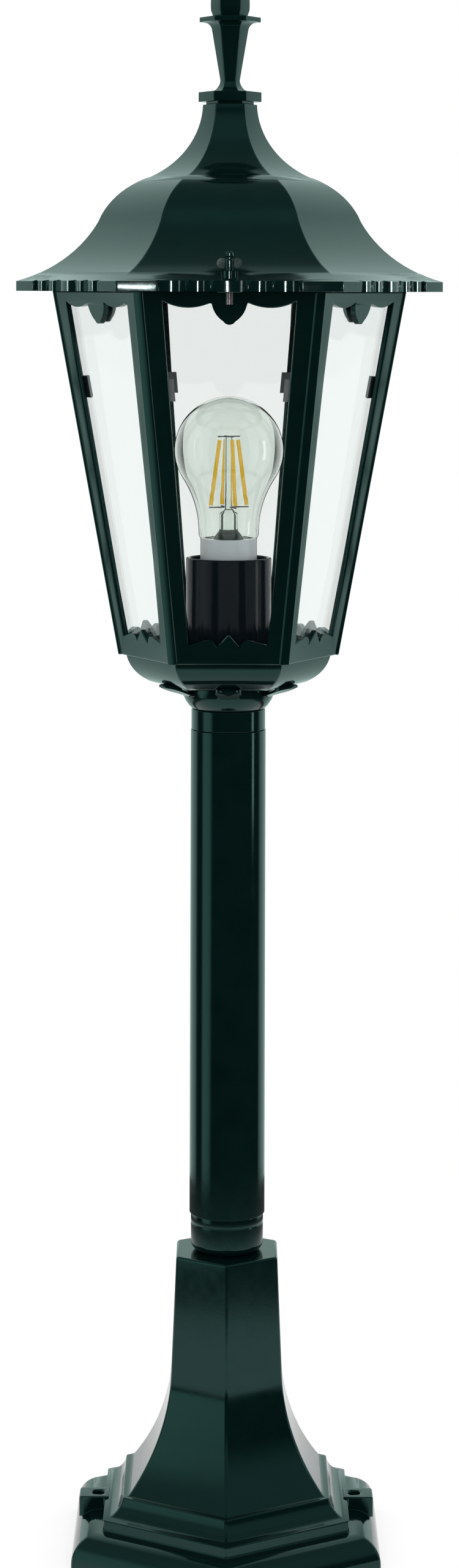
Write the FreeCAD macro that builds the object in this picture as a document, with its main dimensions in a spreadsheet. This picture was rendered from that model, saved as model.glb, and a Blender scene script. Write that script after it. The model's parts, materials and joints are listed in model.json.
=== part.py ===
import FreeCAD, Part
import math
import os
import re
import Sketcher

# Garden lantern on a pole, +Z up, front to -Y, origin at the middle of the foot's underside, millimetres.
# Hexagonal pieces are given by the radius to their corners. The head shows a flat side to the front and
# the foot shows a corner, so the foot is turned by half a side.

SIZES = {
    # cast foot
    "foot_height": 164.5,
    "skirt_r": 97.6,
    "skirt_height": 6.5,
    "skirt_round": 14.5,
    "step_r": 78.0,
    "step_height": 5.9,
    "cove_top_r": 65.6,
    "cove_height": 10.2,
    "cove_bend": 12.0,
    "flare_low_r": 62.2,
    "flare_top_r": 35.5,
    "flare_top": 100.0,
    "flare_bend": 107.6,
    "foot_top_r": 32.5,
    "foot_top_round": 1.5,
    "foot_wall": 4.0,
    "foot_top_wall": 6.0,
    "lug_reach": 82.0,
    "lug_width": 14.0,
    "lug_height": 28.0,
    "anchor_spacing": 143.0,
    "anchor_hole_r": 3.2,
    # pole with its two end plugs
    "pole_r": 21.0,
    "pole_wall": 2.0,
    "pole_length": 269.8,
    "collar_r": 20.2,
    "collar_height": 21.0,
    "collar_round": 5.0,
    "plug_r": 20.7,
    "plug_height": 11.7,
    "plug_web": 6.0,
    "spigot_length": 14.0,
    "spigot_wall": 2.0,
    "slide_gap": 0.1,
    "ring_groove": 0.5,
    "nipple_r": 5.0,
    "nipple_bore_r": 3.5,
    "thread_gap": 0.05,
    "nut_r": 8.6,
    "nut_height": 4.0,
    "nipple_spare": 3.0,
    # calyx of six leaves under the bowl
    "calyx_height": 13.5,
    "calyx_low_r": 20.2,
    "calyx_rim_r": 26.0,
    "calyx_bend": 16.0,
    "leaf_root_r": 20.0,
    "leaf_root_half": 7.0,
    "leaf_root_drop": 9.0,
    "leaf_root": 8.8,
    "leaf_stem_r": 30.0,
    "leaf_stem_half": 6.2,
    "leaf_stem_drop": 4.3,
    "leaf_stem": 3.0,
    "leaf_knob_r": 38.6,
    "leaf_knob_half": 6.8,
    "leaf_knob_drop": 1.7,
    "leaf_knob": 4.4,
    "leaf_tip_r": 42.3,
    "leaf_tip_half": 3.6,
    "leaf_tip_drop": 0.1,
    "leaf_tip": 1.5,
    "leaf_crown": 0.3,
    "leaf_edge": 1.6,
    "bowl_spare": 6.0,
    # bowl under the lantern frame
    "bowl_height": 16.5,
    "bowl_top_r": 57.5,
    "bowl_floor_r": 38.0,
    "bowl_bend": 20.0,
    "bowl_wall": 3.0,
    "bowl_floor": 4.0,
    # lantern frame
    "frame_height": 203.0,
    "frame_low_r": 61.6,
    "frame_top_r": 99.0,
    "frame_wall": 3.0,
    "frame_floor": 4.0,
    "rib_width": 5.6,
    "rib_depth": 4.2,
    "stile_low": 10.0,
    "stile_top": 13.0,
    "low_rail": 10.5,
    "low_tongue": 17.0,
    "low_dip": 9.4,
    "low_dip_side": 6.5,
    "low_lobe": 13.8,
    "low_lobe_side": 11.0,
    "top_rail": 5.0,
    "top_tongue": 16.0,
    "tongue_bend": 14.0,
    "tongue_tip_r": 3.8,
    "tongue_tip_side": 3.2,
    "top_notch": 5.8,
    "top_notch_side": 9.6,
    "top_lobe_bend": 28.0,
    "ear_width": 13.0,
    "ear_thickness": 3.2,
    "ear_gap": 0.55,
    # glass panes and their spring clips
    "pane_thickness": 2.5,
    "pane_gap": 0.6,
    "clip_height": 12.0,
    "clip_place": 144.0,
    "clip_leg": 12.0,
    "clip_thickness": 1.0,
    "clip_gap": 0.05,
    # ogee roof
    "rim_r": 119.8,
    "rim_height": 5.5,
    "eave_bend": 65.6,
    "waist_r": 73.9,
    "waist_height": 38.8,
    "belly_r": 72.2,
    "belly_height": 42.5,
    "belly_bend": 42.0,
    "shoulder_r": 45.0,
    "shoulder_height": 63.9,
    "neck_bend": 47.0,
    "neck_r": 15.4,
    "roof_height": 104.5,
    "roof_wall": 3.0,
    "rim_wall": 4.4,
    "roof_cap_wall": 6.5,
    "neck_slope": 28.0,
    "waist_slope": 63.0,
    "eave_slope": 17.0,
    "scallop_depth": 2.2,
    "scallop_rise": 1.8,
    "scallop_near": 10.0,
    "scallop_mid": 23.0,
    "scallop_far": 38.0,
    # wing screws that hold the roof
    "screw_inset": 8.75,
    "screw_r": 1.95,
    "screw_gap": 0.05,
    "screw_tip": 6.8,
    "boss_r": 4.6,
    "boss_height": 10.8,
    "wing_neck_r": 2.6,
    "wing_neck": 5.6,
    "wing_knob_r": 2.4,
    "wing_knob": 3.4,
    "wing_waist_r": 1.7,
    "wing_waist": 1.8,
    "wing_ear_r": 2.7,
    "wing_ear_side": 4.1,
    "wing_ear_lift": 4.3,
    "wing_thickness": 1.8,
    # finial and what holds it
    "finial_foot_r": 13.5,
    "finial_foot": 1.5,
    "low_plate_r": 17.8,
    "low_plate": 5.5,
    "stem_flare_r": 10.4,
    "stem_low_r": 5.6,
    "stem_low": 13.5,
    "stem_low_bend": 8.0,
    "stem_top_r": 10.4,
    "stem_top": 42.0,
    "stem_cup_r": 14.6,
    "stem_cup_bend": 5.0,
    "top_plate_r": 17.3,
    "top_plate_low": 46.1,
    "top_plate": 2.7,
    "bud_low_r": 9.6,
    "bud_wide_r": 11.0,
    "bud_wide": 53.0,
    "bud_bend": 52.0,
    "bud_tip_r": 1.6,
    "finial_height": 84.0,
    "stud_r": 3.0,
    "stud_depth": 13.0,
    "washer_r": 7.5,
    "washer": 1.2,
    "stud_nut_r": 5.7,
    "stud_nut": 4.6,
    # lamp holder
    "sleeve_r": 23.5,
    "sleeve_wall": 2.2,
    "sleeve_height": 50.5,
    "insert_base": 12.0,
    "insert_top_gap": 5.0,
    "shell_wall": 0.6,
    "shell_lift": 4.0,
    "contact_r": 5.0,
    "contact_height": 3.0,
    # bulb
    "cap_r": 13.2,
    "cap_gap": 0.4,
    "cap_cone": 5.0,
    "cap_tip_r": 4.6,
    "bulb_collar_r": 15.6,
    "bulb_collar": 13.8,
    "bulb_collar_low": 3.2,
    "bulb_neck_r": 16.6,
    "bulb_neck": 4.2,
    "bulb_r": 30.0,
    "bulb_height": 79.5,
    "bulb_bend": 56.0,
    "bulb_wall": 0.8,
    "bulb_cone_angle": 31.8,
    "stem_foot_r": 8.5,
    "stem_press_r": 5.0,
    "stem_rod_r": 2.3,
    "stem_foot": 14.0,
    "stem_height": 56.6,
    "filament_r": 1.1,
    "filament_low": 18.7,
    "filament_top": 55.0,
    "filament_low_side": 10.5,
    "filament_top_side": 5.4,
    "wire_r": 0.35,
}

doc = FreeCAD.newDocument("garden_lantern")
sheet = doc.addObject("Spreadsheet::Sheet", "dims")
for row, (alias, size) in enumerate(SIZES.items(), 1):
    sheet.set(f"A{row}", alias)
    sheet.set(f"B{row}", str(size))
    sheet.setAlias(f"B{row}", alias)
doc.recompute()

SIDES = 6
LEFT = 1
RIGHT = -1
WORD = re.compile(r"[a-z][a-z_]+")
FUNCTIONS = ("cos", "sin", "tan", "sqrt", "atan", "vector", "rotation", "placement")


# Expressions on the sheet


def bound(text):
    """The expression with each alias written as a cell of the sheet."""
    return WORD.sub(lambda m: m.group() if m.group() in FUNCTIONS else "dims." + m.group(), text)


def number(text):
    """The expression's present value."""
    return float(sheet.evalExpression(bound(text)))


def flat(radius):
    """Distance from the axis to the flat side of a hexagon with that corner radius."""
    return f"cos(30)*({radius})"


# Heights of the stack, from the ground up
FOOT_TOP = "foot_height"
TUBE_LOW = f"{FOOT_TOP}+collar_height"
TUBE_TOP = f"{TUBE_LOW}+pole_length"
PLUG_TOP = f"{TUBE_TOP}+plug_height"
CALYX_TOP = f"{PLUG_TOP}+calyx_height"
FRAME_LOW = f"{CALYX_TOP}+bowl_height"
FLOOR_TOP = f"{FRAME_LOW}+frame_floor"
FRAME_TOP = f"{FRAME_LOW}+frame_height"
EAR_TOP = f"{FRAME_TOP}+ear_thickness"
ROOF_TOP = f"{FRAME_TOP}+roof_height"
SLEEVE_TOP = f"{FLOOR_TOP}+sleeve_height"
BULB_LOW = f"{SLEEVE_TOP}-bulb_collar_low+bulb_collar"
STEP_LOW = "skirt_height+skirt_round"
LEDGE = f"{STEP_LOW}+step_height"
COVE_TOP = f"{LEDGE}+cove_height"
FRAME_LEAN = "(frame_top_r-frame_low_r)/frame_height"
SCREW_PLACE = f"({flat('rim_r')}-screw_inset)"
EAR_REACH = f"({flat('rim_r')}-rim_wall-ear_gap)"


# Sketches and features


def new_body(name):
    return doc.addObject("PartDesign::Body", name)


def origin_part(body, role):
    return next(item for item in body.Origin.OriginFeatures if item.Role == role)


def new_sketch(body, plane, lift=None):
    """Empty sketch on one of the body's own planes, lifted along the plane's normal."""
    sketch = body.newObject("Sketcher::SketchObject", f"{body.Name}_sketch")
    sketch.AttachmentSupport = [(origin_part(body, plane), "")]
    sketch.MapMode = "FlatFace"
    if lift:
        sketch.setExpression("AttachmentOffset.Base.z", bound(lift))
    return sketch


def curve(start, end, radius, turn):
    """Arc from start to end that keeps turning left or right, and which of its ends is the start."""
    chord = end - start
    middle = (start + end) * 0.5
    across = FreeCAD.Vector(-chord.y, chord.x, 0).normalize()
    height = math.sqrt(radius**2 - (chord.Length / 2) ** 2)
    centre = middle + across * (height * turn)
    first, last = (start, end) if turn == LEFT else (end, start)
    angles = [math.atan2(point.y - centre.y, point.x - centre.x) for point in (first, last)]
    circle = Part.Circle(centre, FreeCAD.Vector(0, 0, 1), radius)
    return Part.ArcOfCircle(circle, *angles), (1, 2) if turn == LEFT else (2, 1)


def outline(sketch, corners):
    """Closed outline through (across, up) corners. A corner with a radius and a turn starts an arc."""
    places = [FreeCAD.Vector(number(corner[0]), number(corner[1]), 0) for corner in corners]
    base = sketch.GeometryCount
    ends = []
    rules = []
    drivers = []
    for index, corner in enumerate(corners):
        start = places[index]
        end = places[(index + 1) % len(places)]
        if len(corner) == 2:
            shape, order = Part.LineSegment(start, end), (1, 2)
        else:
            shape, order = curve(start, end, number(corner[2]), corner[3])
        sketch.addGeometry(shape, False)
        ends.append(order)
    for index, corner in enumerate(corners):
        edge = base + index
        following = (index + 1) % len(corners)
        first, last = ends[index]
        rules.append(Sketcher.Constraint("Coincident", edge, last, base + following, ends[following][0]))
        for axis, text, line in (("DistanceX", corner[0], -2), ("DistanceY", corner[1], -1)):
            if text == "0":
                rules.append(Sketcher.Constraint("PointOnObject", edge, first, line))
                continue
            drivers.append((len(rules), text))
            rules.append(Sketcher.Constraint(axis, -1, 1, edge, first, number(text)))
        if len(corner) > 2:
            drivers.append((len(rules), corner[2]))
            rules.append(Sketcher.Constraint("Radius", edge, number(corner[2])))
    count = sketch.ConstraintCount
    sketch.addConstraint(rules)
    for index, text in drivers:
        sketch.setExpression(f"Constraints[{count + index}]", bound(text))
    return sketch


def round_hole(sketch, radius, across="0", up="0"):
    """Circle in a sketch, at a place given by expressions."""
    centre = FreeCAD.Vector(number(across), number(up), 0)
    edge = sketch.addGeometry(Part.Circle(centre, FreeCAD.Vector(0, 0, 1), number(radius)), False)
    for kind, text, line in (("DistanceX", across, -2), ("DistanceY", up, -1)):
        if text == "0":
            sketch.addConstraint(Sketcher.Constraint("PointOnObject", edge, 3, line))
            continue
        index = sketch.addConstraint(Sketcher.Constraint(kind, -1, 1, edge, 3, number(text)))
        sketch.setExpression(f"Constraints[{index}]", bound(text))
    index = sketch.addConstraint(Sketcher.Constraint("Radius", edge, number(radius)))
    sketch.setExpression(f"Constraints[{index}]", bound(radius))
    return sketch


def hexagon(sketch, radius, turn=0):
    """Regular hexagon with its first corner at the angle turn."""
    angles = [turn + 360 // SIDES * side for side in range(SIDES)]
    corners = [(f"({radius})*cos({angle})", f"({radius})*sin({angle})") for angle in angles]
    corners = [tuple("0" if abs(number(text)) < 1e-9 else text for text in corner) for corner in corners]
    return outline(sketch, corners)


def feature(body, kind, profile, **settings):
    """Feature made from a sketch, with its settings."""
    item = body.newObject(f"PartDesign::{kind}", f"{body.Name}_{kind.lower()}")
    item.Profile = profile
    for key, setting in settings.items():
        setattr(item, key, setting)
    return item


def pad(body, sketch, length, **settings):
    item = feature(body, "Pad", sketch, **settings)
    item.setExpression("Length", bound(length))
    return item


def around(body, original, count=SIDES):
    """Copies of a feature around the Z axis."""
    pattern = body.newObject("PartDesign::PolarPattern", f"{body.Name}_pattern")
    pattern.Originals = [original]
    pattern.Axis = (origin_part(body, "Z_Axis"), [""])
    pattern.Angle = 360
    pattern.Occurrences = count
    body.Tip = pattern
    return pattern


def turned(name, corners):
    """Piece of revolution about Z, from its half section."""
    body = new_body(name)
    sketch = outline(new_sketch(body, "XZ_Plane"), corners)
    feature(body, "Revolution", sketch, ReferenceAxis=(sketch, ["V_Axis"]), Angle=360)
    return body


def six_sided(name, side, plane):
    """Hexagonal piece whose side, from low to high, is a section through the middle of one flat."""
    body = new_body(name)
    reach = f"({side[0][0]})*2"
    low = side[0][1]
    high = side[-1][1]
    blank = round_hole(new_sketch(body, "XY_Plane", low), reach)
    pad(body, blank, f"({high})-({low})")
    waste = outline(new_sketch(body, plane), side + [(f"({reach})*2", high), (f"({reach})*2", low)])
    cut = feature(body, "Pocket", waste, Type="ThroughAll", SideType="Symmetric")
    around(body, cut)
    return body


def shape_of(kind, name, parts):
    """Boolean of finished pieces: the first less the rest, or all of them together."""
    item = doc.addObject(f"Part::{kind}", name)
    if kind == "Cut":
        item.Base, item.Tool = parts
    else:
        item.Shapes = parts
    return item


def rod(name, radius, low, high, across="0", depth="0"):
    """Upright cylinder."""
    item = doc.addObject("Part::Cylinder", name)
    item.setExpression("Radius", bound(radius))
    item.setExpression("Height", bound(f"({high})-({low})"))
    item.setExpression("Placement.Base.x", bound(across))
    item.setExpression("Placement.Base.y", bound(depth))
    item.setExpression("Placement.Base.z", bound(low))
    return item


def block(name, width, depth, height, across, back, low):
    """Box from its low corner."""
    item = doc.addObject("Part::Box", name)
    for key, text in (("Length", width), ("Width", depth), ("Height", height)):
        item.setExpression(key, bound(text))
    for key, text in (("x", across), ("y", back), ("z", low)):
        item.setExpression(f"Placement.Base.{key}", bound(text))
    return item


def hex_nut(name, radius, bore, low, height):
    """Hexagon nut on the Z axis."""
    body = new_body(name)
    sketch = hexagon(new_sketch(body, "XY_Plane", low), radius)
    round_hole(sketch, bore)
    pad(body, sketch, height)
    return body


def group(name, parts):
    item = doc.addObject("Part::Compound", name)
    item.Links = parts
    return item


# Cast foot: hexagonal, hollow below, with two anchor lugs on its left and right sides


def make_foot():
    outer = six_sided("foot_outer", [
        (flat("skirt_r"), "0"),
        (flat("skirt_r"), "skirt_height", "skirt_round", LEFT),
        (f"{flat('skirt_r')}-skirt_round", STEP_LOW),
        (flat("step_r"), STEP_LOW),
        (flat("step_r"), LEDGE, "cove_bend", RIGHT),
        (flat("cove_top_r"), COVE_TOP),
        (flat("flare_low_r"), COVE_TOP, "flare_bend", RIGHT),
        (flat("flare_top_r"), "flare_top"),
        (flat("foot_top_r"), f"{FOOT_TOP}-foot_top_round", "foot_top_round", LEFT),
        (f"{flat('foot_top_r')}-foot_top_round", FOOT_TOP),
    ], "XZ_Plane")
    inside = six_sided("foot_hollow", [
        (f"{flat('skirt_r')}-foot_wall", "0"),
        (f"{flat('skirt_r')}-foot_wall", "skirt_height", "skirt_round-foot_wall", LEFT),
        (f"{flat('skirt_r')}-skirt_round", f"{STEP_LOW}-foot_wall"),
        (f"{flat('step_r')}-foot_wall", f"{STEP_LOW}-foot_wall"),
        (flat("cove_top_r"), f"{LEDGE}-foot_wall"),
        (f"{flat('flare_low_r')}-foot_wall", COVE_TOP, "flare_bend+foot_wall", RIGHT),
        (f"{flat('flare_top_r')}-foot_wall", "flare_top"),
        (f"{flat('foot_top_r')}-foot_wall", f"{FOOT_TOP}-foot_top_wall"),
    ], "XZ_Plane")
    lugs = []
    holes = []
    for side, sign in (("left", "-"), ("right", "")):
        start = f"{sign}lug_reach" if sign else f"lug_reach-{LUG_LENGTH}"
        lugs.append(block(f"lug_{side}", LUG_LENGTH, "lug_width", f"lug_height-{LUG_LOW}", start,
                          "-lug_width/2", LUG_LOW))
        place = f"{sign}anchor_spacing/2"
        holes.append(rod(f"anchor_hole_{side}", "anchor_hole_r", "0", "lug_height", place))
    shell = shape_of("Cut", "foot_shell", [outer, inside])
    solid = shape_of("MultiFuse", "foot_with_lugs", [shell] + lugs)
    nipple_hole = rod("foot_nipple_hole", "nipple_r+thread_gap", "0", FOOT_TOP)
    return shape_of("Cut", "foot", [solid, shape_of("MultiFuse", "foot_holes", holes + [nipple_hole])])


LUG_LENGTH = f"(lug_reach-{flat('step_r')}+foot_wall/2)"
LUG_LOW = f"({STEP_LOW}-foot_wall)"


# Pole: tube with a turned plug in each end, held by hollow threaded nipples


def make_pole():
    inner = "pole_r-pole_wall"
    spigot = f"{inner}-slide_gap"
    hollow = f"{spigot}-spigot_wall"
    bore = "nipple_r+thread_gap"
    tube = turned("pole_tube", [
        (inner, TUBE_LOW), ("pole_r", TUBE_LOW), ("pole_r", TUBE_TOP), (inner, TUBE_TOP),
    ])
    collar = turned("pole_bottom_collar", [
        (bore, FOOT_TOP),
        ("collar_r-collar_round", FOOT_TOP, "collar_round", LEFT),
        ("collar_r", f"{FOOT_TOP}+collar_round"),
        ("collar_r", f"{COLLAR_RING}-ring_groove"),
        ("collar_r-ring_groove", COLLAR_RING),
        ("collar_r", f"{COLLAR_RING}+ring_groove"),
        ("collar_r", TUBE_LOW),
        (spigot, TUBE_LOW),
        (spigot, f"{TUBE_LOW}+spigot_length"),
        (hollow, f"{TUBE_LOW}+spigot_length"),
        (hollow, f"{FOOT_TOP}+plug_web"),
        (bore, f"{FOOT_TOP}+plug_web"),
    ])
    plug = turned("pole_top_plug", [
        (bore, f"{PLUG_TOP}-plug_web"),
        (hollow, f"{PLUG_TOP}-plug_web"),
        (hollow, f"{TUBE_TOP}-spigot_length"),
        (spigot, f"{TUBE_TOP}-spigot_length"),
        (spigot, TUBE_TOP),
        ("plug_r-ring_groove", TUBE_TOP),
        ("plug_r", f"{TUBE_TOP}+ring_groove"),
        ("plug_r", f"{PLUG_TOP}-ring_groove"),
        ("plug_r-ring_groove", PLUG_TOP),
        (bore, PLUG_TOP),
    ])
    return [tube, collar, plug]


COLLAR_RING = f"{FOOT_TOP}+collar_height*3/4"


def make_nipples():
    """Each nipple clamps its stack between two nuts."""
    pieces = []
    stacks = (
        ("base", f"{FOOT_TOP}-foot_top_wall", f"{FOOT_TOP}+plug_web"),
        ("neck", f"{PLUG_TOP}-plug_web", FLOOR_TOP),
    )
    for name, low, high in stacks:
        start = f"{low}-nut_height-nipple_spare"
        end = f"{high}+nut_height+nipple_spare"
        pieces.append(turned(f"{name}_nipple", [
            ("nipple_bore_r", start), ("nipple_r", start), ("nipple_r", end), ("nipple_bore_r", end),
        ]))
        bore = "nipple_r+thread_gap"
        nuts = [
            hex_nut(f"{name}_nut_low", "nut_r", bore, f"{low}-nut_height", "nut_height"),
            hex_nut(f"{name}_nut_high", "nut_r", bore, high, "nut_height"),
        ]
        pieces.append(group(f"{name}_nuts", nuts))
    return pieces


# Bowl and calyx: the cast pieces between the pole and the lantern frame


def bowl_form(name):
    return six_sided(name, [
        (flat("bowl_floor_r"), CALYX_TOP, "bowl_bend", LEFT),
        (flat("bowl_top_r"), FRAME_LOW),
    ], "YZ_Plane")


def make_bowl():
    inside = six_sided("bowl_hollow", [
        (f"{flat('bowl_floor_r')}-bowl_wall/2", f"{CALYX_TOP}+bowl_floor", "bowl_bend-bowl_wall", LEFT),
        (f"{flat('bowl_top_r')}-bowl_wall", FRAME_LOW),
    ], "YZ_Plane")
    shell = shape_of("Cut", "bowl_shell", [bowl_form("bowl_outer"), inside])
    hole = rod("bowl_hole", "nipple_r+thread_gap", CALYX_TOP, FRAME_LOW)
    return shape_of("Cut", "bowl", [shell, hole])


def leaf_section(body, place):
    """Section across a leaf at its root, stem, knob or tip: a keel below, a crown above and an edge at each side."""
    half = f"leaf_{place}_half"
    keel = f"{CALYX_TOP}-leaf_{place}_drop"
    low = f"{keel}+leaf_{place}*leaf_crown"
    top = f"{keel}+leaf_{place}"
    high = f"{top}-leaf_{place}*leaf_crown"
    return outline(new_sketch(body, "XZ_Plane", f"leaf_{place}_r"), [
        ("0", keel), (half, low), (half, high), ("0", top), (f"-{half}", high), (f"-{half}", low),
    ])


def make_calyx():
    whole = turned("calyx_whole", [
        ("nipple_r+thread_gap", PLUG_TOP),
        ("calyx_low_r", PLUG_TOP, "calyx_bend", LEFT),
        ("calyx_rim_r", f"{CALYX_TOP}-leaf_edge"),
        ("calyx_rim_r", CALYX_TOP),
        ("nipple_r+thread_gap", CALYX_TOP),
    ])
    sections = [leaf_section(whole, place) for place in ("root", "stem", "knob", "tip")]
    around(whole, feature(whole, "AdditiveLoft", sections[0], Sections=sections[1:], Ruled=False))
    bore = rod("calyx_bore", "nipple_r+thread_gap", PLUG_TOP, f"{CALYX_TOP}+bowl_spare")
    clear = shape_of("MultiFuse", "calyx_clear", [bowl_form("bowl_seat"), bore])
    return shape_of("Cut", "neck_calyx", [whole, clear])


# Lantern frame: tapered hexagonal casting with six windows, corner ribs and three ears for the roof screws


def frame_r(height):
    """Corner radius of the frame's outside at a height above its underside."""
    return f"(frame_low_r+({height})*{FRAME_LEAN})"


def hex_taper(body, kind, inset, low, high):
    """Six-sided taper that runs parallel to the frame's outside, that far inside it."""
    sketches = []
    for height in (low, high):
        sketches.append(hexagon(new_sketch(body, "XY_Plane", f"{FRAME_LOW}+{height}"),
                                f"{frame_r(height)}-({inset})/cos(30)"))
    return feature(body, kind, sketches[0], Sections=[sketches[1]], Ruled=True)


def window_corners():
    """Right half of a window's outline, from the middle of its low edge to the tongue of its top edge."""
    top = "(frame_height-top_rail)"
    return [
        ("0", "low_tongue"),
        ("low_dip_side", "low_dip", "low_lobe_side-low_dip_side", RIGHT),
        ("low_lobe_side", "low_lobe"),
        (f"{frame_r('low_rail')}/2-stile_low", "low_rail"),
        (f"{frame_r(top)}/2-stile_top", top, "top_lobe_bend", RIGHT),
        ("top_notch_side", "(frame_height-top_notch)", "tongue_bend", RIGHT),
        ("tongue_tip_side", "(frame_height-top_tongue)", "tongue_tip_r", RIGHT),
    ]


def mirrored(right):
    """Closed outline from its right half, which starts on the middle line."""
    left = []
    for index in range(len(right) - 1, 0, -1):
        across, up = right[index][:2]
        left.append((f"-({across})", up, *right[index - 1][2:]))
    return right + left


def screw_rods(name, radius, low, high):
    """One upright cylinder for each of the three roof screws."""
    rods = []
    for angle in SCREW_ANGLES:
        rods.append(rod(f"{name}_{angle}", radius, low, high,
                        f"{SCREW_PLACE}*sin({angle})", f"-{SCREW_PLACE}*cos({angle})"))
    return rods


def make_frame():
    body = new_body("frame_casting")
    hex_taper(body, "AdditiveLoft", "0", "0", "frame_height")
    hex_taper(body, "SubtractiveLoft", "frame_wall", "frame_floor", "frame_height")
    right = [(across, f"{FRAME_LOW}+{up}", *bend) for across, up, *bend in window_corners()]
    window = outline(new_sketch(body, "XZ_Plane"), mirrored(right))
    around(body, feature(body, "Pocket", window, Type="ThroughAll", Reversed=True))
    sections = []
    for height in ("0", "frame_height"):
        corner = frame_r(height)
        sections.append(outline(new_sketch(body, "XY_Plane", f"{FRAME_LOW}+{height}"), [
            (corner, "-rib_width/2"),
            (corner, "rib_width/2"),
            (f"{corner}-rib_depth", "rib_width/2"),
            (f"{corner}-rib_depth", "-rib_width/2"),
        ]))
    around(body, feature(body, "AdditiveLoft", sections[0], Sections=[sections[1]], Ruled=True))
    back = f"-({flat('frame_top_r')}-frame_wall)"
    ear = outline(new_sketch(body, "XY_Plane", FRAME_TOP), [
        ("-ear_width/2", back),
        ("-ear_width/2", f"-{EAR_REACH}"),
        ("ear_width/2", f"-{EAR_REACH}"),
        ("ear_width/2", back),
    ])
    around(body, pad(body, ear, "ear_thickness"), len(SCREW_ANGLES))
    holes = screw_rods("ear_thread", "screw_r+screw_gap", f"{FRAME_TOP}-screw_tip-screw_gap", EAR_TOP)
    nipple = rod("floor_hole", "nipple_r+thread_gap", FRAME_LOW, FLOOR_TOP)
    return shape_of("Cut", "lantern_frame", [body, shape_of("MultiFuse", "frame_holes", holes + [nipple])])


# Glass: six flat panes behind the frame's windows, held at the corners by bent spring clips


def pane_seat(height):
    """Distance from the axis to the outer face of a pane at a height above the frame's underside."""
    return f"({flat(frame_r(height))}-frame_wall)"


def make_panes():
    panes = []
    low = "frame_floor"
    high = "(frame_height-pane_gap)"
    for side, place in enumerate(PANE_PLACES):
        body = new_body(f"pane_{place}")
        corners = []
        for height in (low, high):
            half = f"(({pane_seat(height)}-pane_thickness/cos({LEAN}))*tan(30)-pane_gap)"
            corners.append((half, f"({height}-{low})/cos({LEAN})" if height != low else "0"))
        (low_half, low_up), (high_half, high_up) = corners
        sketch = outline(new_sketch(body, "XZ_Plane"), [
            (low_half, low_up), (high_half, high_up), (f"-{high_half}", high_up), (f"-{low_half}", low_up),
        ])
        pad(body, sketch, "pane_thickness", Reversed=True)
        angle = 360 // SIDES * side
        body.setExpression("Placement", bound(
            f"placement(vector({pane_seat(low)}*sin({angle}); -{pane_seat(low)}*cos({angle}); {FLOOR_TOP});"
            f" rotation({angle}; 0; {LEAN}))"))
        panes.append(body)
    return panes


def make_clips():
    body = new_body("pane_clips")
    body.AllowCompound = True
    sections = []
    for height in ("clip_place", "(clip_place+clip_height)"):
        bend = f"(({pane_seat(height)}-pane_thickness/cos({LEAN})-clip_gap)/cos(30))"
        leg = (f"({bend}-clip_leg*sin(30))", "clip_leg*cos(30)")
        inner = (f"({leg[0]}-clip_thickness*cos(30))", f"({leg[1]}-clip_thickness*sin(30))")
        sections.append(outline(new_sketch(body, "XY_Plane", f"{FRAME_LOW}+{height}"), [
            (bend, "0"),
            leg,
            inner,
            (f"{bend}-clip_thickness/cos(30)", "0"),
            (inner[0], f"-{inner[1]}"),
            (leg[0], f"-{leg[1]}"),
        ]))
    around(body, feature(body, "AdditiveLoft", sections[0], Sections=[sections[1]], Ruled=True))
    return body


# Roof: thin cast ogee on six flats, with a scalloped rim and three bosses for the wing screws


def roof_side(inset):
    """Section of one flat of the roof, outside or one wall inside it."""
    if not inset:
        return [
            (flat("rim_r"), FRAME_TOP),
            (flat("rim_r"), f"{FRAME_TOP}+rim_height", "eave_bend", RIGHT),
            (flat("waist_r"), f"{FRAME_TOP}+waist_height"),
            (flat("belly_r"), f"{FRAME_TOP}+belly_height", "belly_bend", LEFT),
            (flat("shoulder_r"), f"{FRAME_TOP}+shoulder_height", "neck_bend", RIGHT),
            (flat("neck_r"), ROOF_TOP),
        ]
    lip = f"{flat('rim_r')}-rim_wall"
    drop = "(rim_wall-roof_wall*sin(eave_slope))*tan(eave_slope)"
    eave = f"{FRAME_TOP}+rim_height-roof_wall*cos(eave_slope)+{drop}"
    steep = ("roof_wall*sin(waist_slope)", "roof_wall*cos(waist_slope)")
    gentle = ("roof_wall*sin(neck_slope)", "roof_wall*cos(neck_slope)")
    return [
        (lip, FRAME_TOP),
        (lip, eave, "eave_bend+roof_wall", RIGHT),
        (f"{flat('waist_r')}-{steep[0]}", f"{FRAME_TOP}+waist_height-{steep[1]}"),
        (f"{flat('belly_r')}-{steep[0]}", f"{FRAME_TOP}+belly_height-{steep[1]}",
         "belly_bend-roof_wall", LEFT),
        (f"{flat('shoulder_r')}-{gentle[0]}", f"{FRAME_TOP}+shoulder_height-{gentle[1]}",
         "neck_bend+roof_wall", RIGHT),
        (f"{flat('neck_r')}-roof_wall", f"{ROOF_TOP}-roof_cap_wall"),
    ]


def scallop(start, end):
    """Radius of a rim lobe between two cusps."""
    half = f"(({end})-({start}))/2"
    return f"(({half})^2+scallop_rise^2)/(2*scallop_rise)"


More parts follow.
